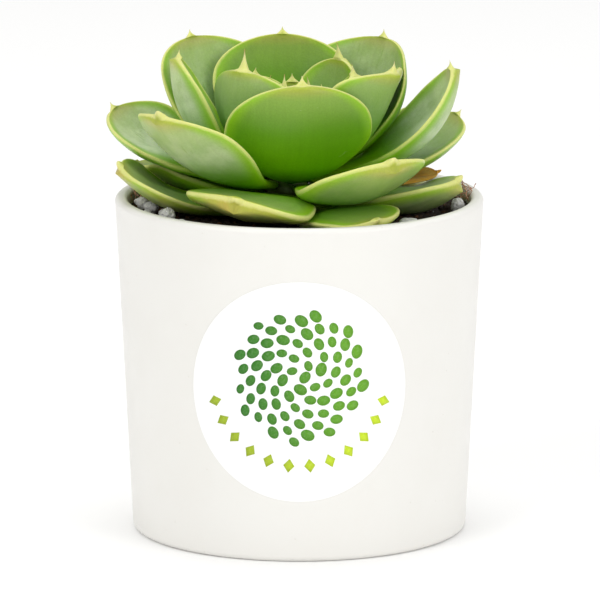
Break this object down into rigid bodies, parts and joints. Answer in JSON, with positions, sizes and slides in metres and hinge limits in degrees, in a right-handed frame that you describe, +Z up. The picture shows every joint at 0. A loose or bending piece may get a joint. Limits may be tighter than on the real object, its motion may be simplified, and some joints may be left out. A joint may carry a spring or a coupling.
{
  "type": "potted succulent",
  "caption": "Rosette succulent growing in a small plain tapered ceramic pot, with soil, perlite crumbs and a plain round label on the front.",
  "frame": {"origin": "centre of the pot's flat underside, on the surface that the pot stands on", "axes": "+Z up along the pot's axis; the round label on the pot faces -Y; +X to the right when facing the label"},
  "size_m": [0.0818, 0.08, 0.1072],
  "materials": {
    "ceramic": null,
    "label": "smooth white sticker with a plain printed pattern of green dots",
    "soil": null,
    "stem": "short fleshy green-brown stem",
    "perlite": "rough off-white mineral crumbs",
    "dry_leaf": "brown papery dried leaf",
    "leaf": null
  },
  "bodies": {
    "root": {"pot": "ceramic", "label": "label", "soil": "soil", "stem": "stem", "stone_1": "perlite", "stone_2": "perlite", "stone_3": "perlite", "stone_4": "perlite", "stone_5": "perlite", "stone_6": "perlite", "stone_7": "perlite", "stone_8": "perlite", "stone_9": "perlite", "stone_10": "perlite", "stone_11": "perlite", "stone_12": "perlite", "dry_leaf": "dry_leaf", "outer_leaf_1": "leaf", "outer_leaf_2": "leaf", "outer_leaf_3": "leaf", "outer_leaf_4": "leaf", "outer_leaf_5": "leaf", "outer_leaf_6": "leaf", "outer_leaf_7": "leaf", "outer_leaf_8": "leaf", "lower_leaf_1": "leaf", "lower_leaf_2": "leaf", "lower_leaf_3": "leaf", "lower_leaf_4": "leaf", "lower_leaf_5": "leaf", "lower_leaf_6": "leaf", "middle_leaf_1": "leaf", "middle_leaf_2": "leaf", "middle_leaf_3": "leaf", "middle_leaf_4": "leaf", "middle_leaf_5": "leaf", "middle_leaf_6": "leaf", "middle_leaf_7": "leaf", "upper_leaf_1": "leaf", "upper_leaf_2": "leaf", "upper_leaf_3": "leaf", "upper_leaf_4": "leaf", "upper_leaf_5": "leaf", "inner_leaf_1": "leaf", "inner_leaf_2": "leaf", "inner_leaf_3": "leaf", "inner_leaf_4": "leaf", "bud_leaf_1": "leaf", "bud_leaf_2": "leaf", "bud_leaf_3": "leaf"}
  },
  "joints": []
}
